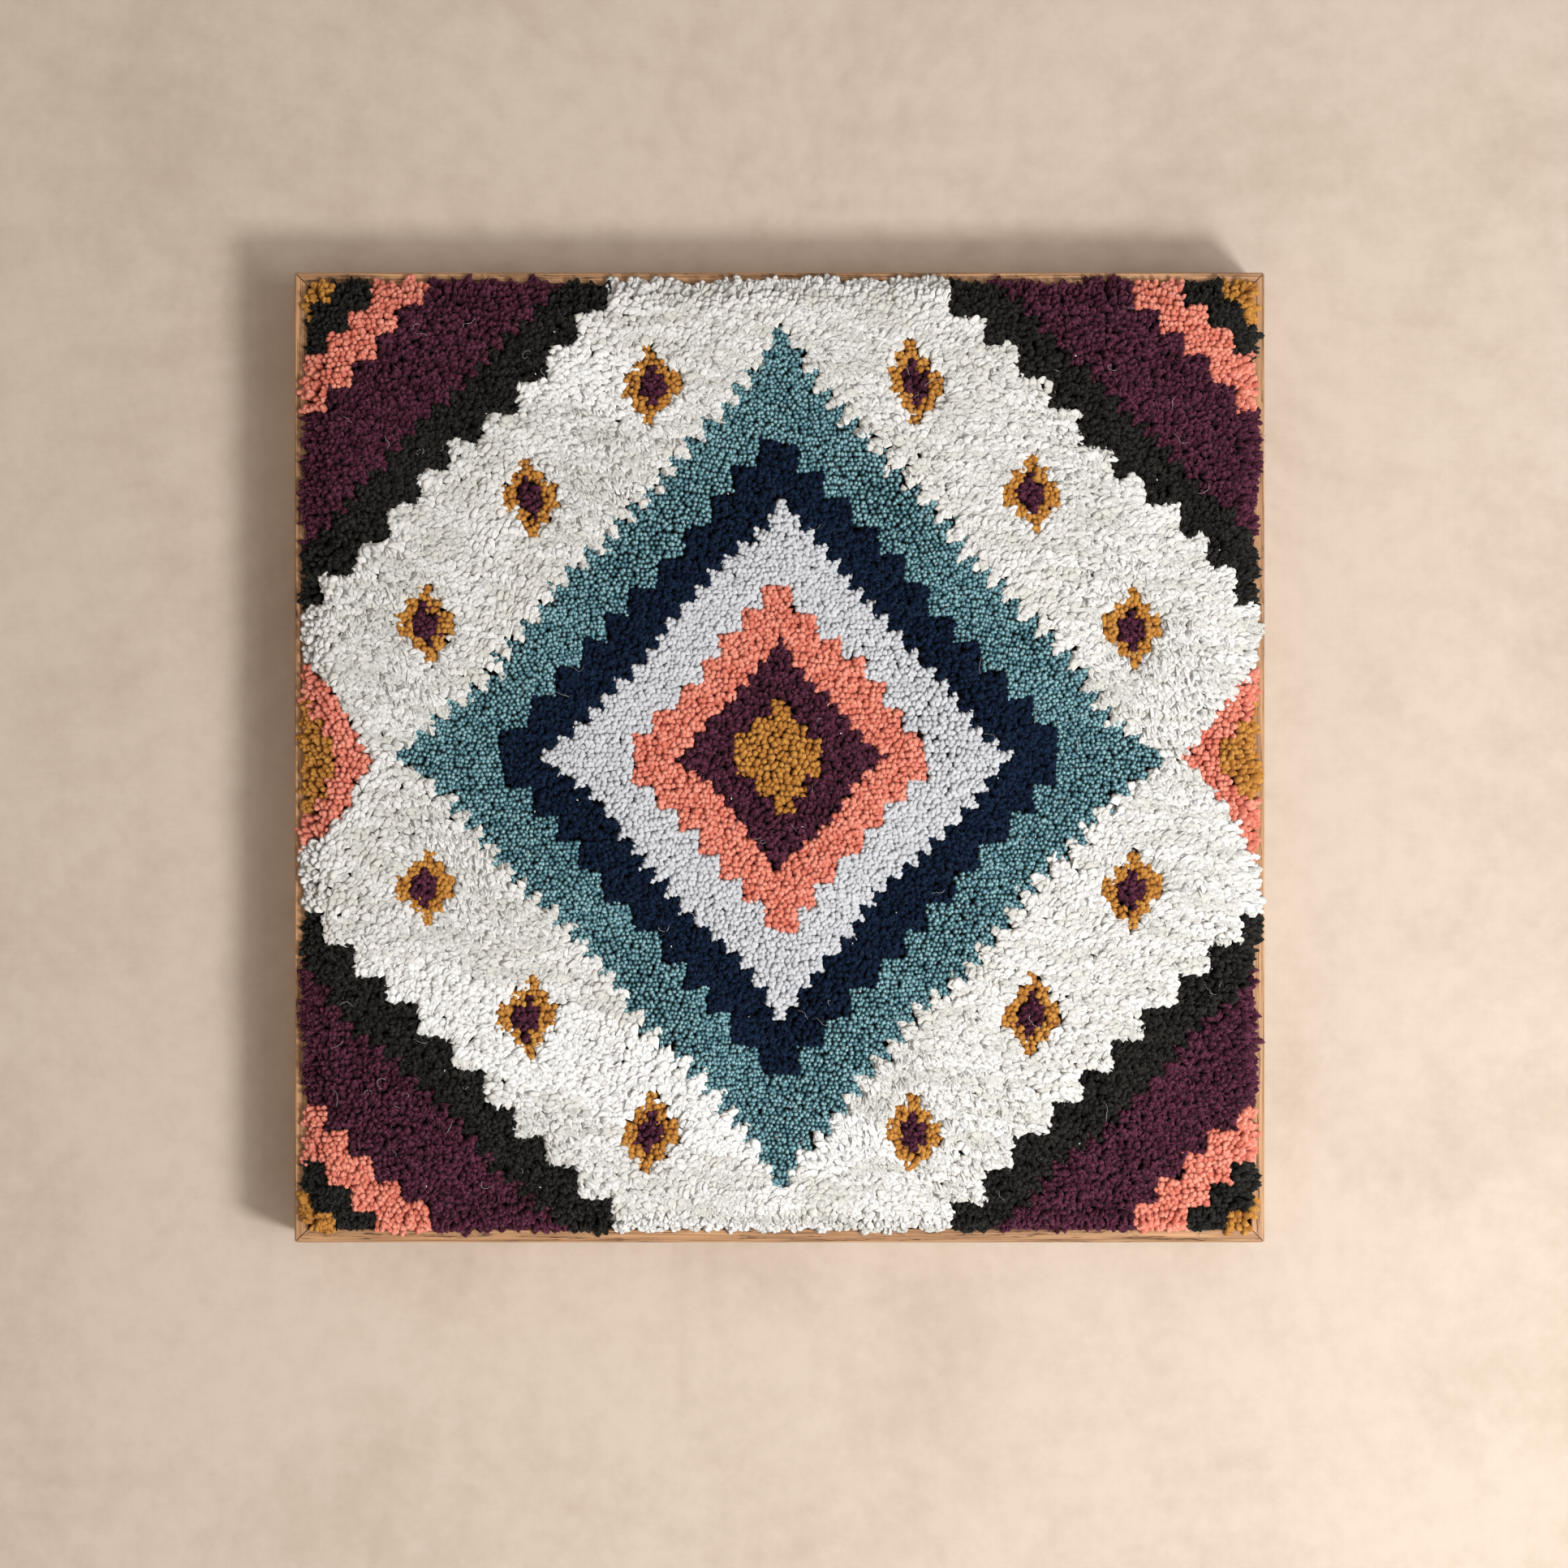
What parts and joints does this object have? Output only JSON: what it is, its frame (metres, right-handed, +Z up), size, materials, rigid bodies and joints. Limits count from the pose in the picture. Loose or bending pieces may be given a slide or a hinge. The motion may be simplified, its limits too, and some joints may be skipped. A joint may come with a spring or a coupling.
{
  "type": "tufted wall hanging in a wooden frame",
  "caption": "Square of cut-pile tufted yarn, held in a slim mitred wooden frame that hangs flat against a wall.",
  "frame": {"origin": "middle of the frame's top edge, on the plane of the wall that the frame's back lies on", "axes": "+Z up, +Y into the wall, +X to the right as seen from the front; the pile faces -Y"},
  "size_m": [0.4574, 0.0417, 0.4572],
  "materials": {
    "oak": "thin matt oil over open grain",
    "yarn": "cut wool pile in nine yarn colours"
  },
  "bodies": {
    "root": {"rail_top": "oak", "rail_right": "oak", "rail_bottom": "oak", "rail_left": "oak", "tufted_cloth": "yarn"}
  },
  "joints": []
}
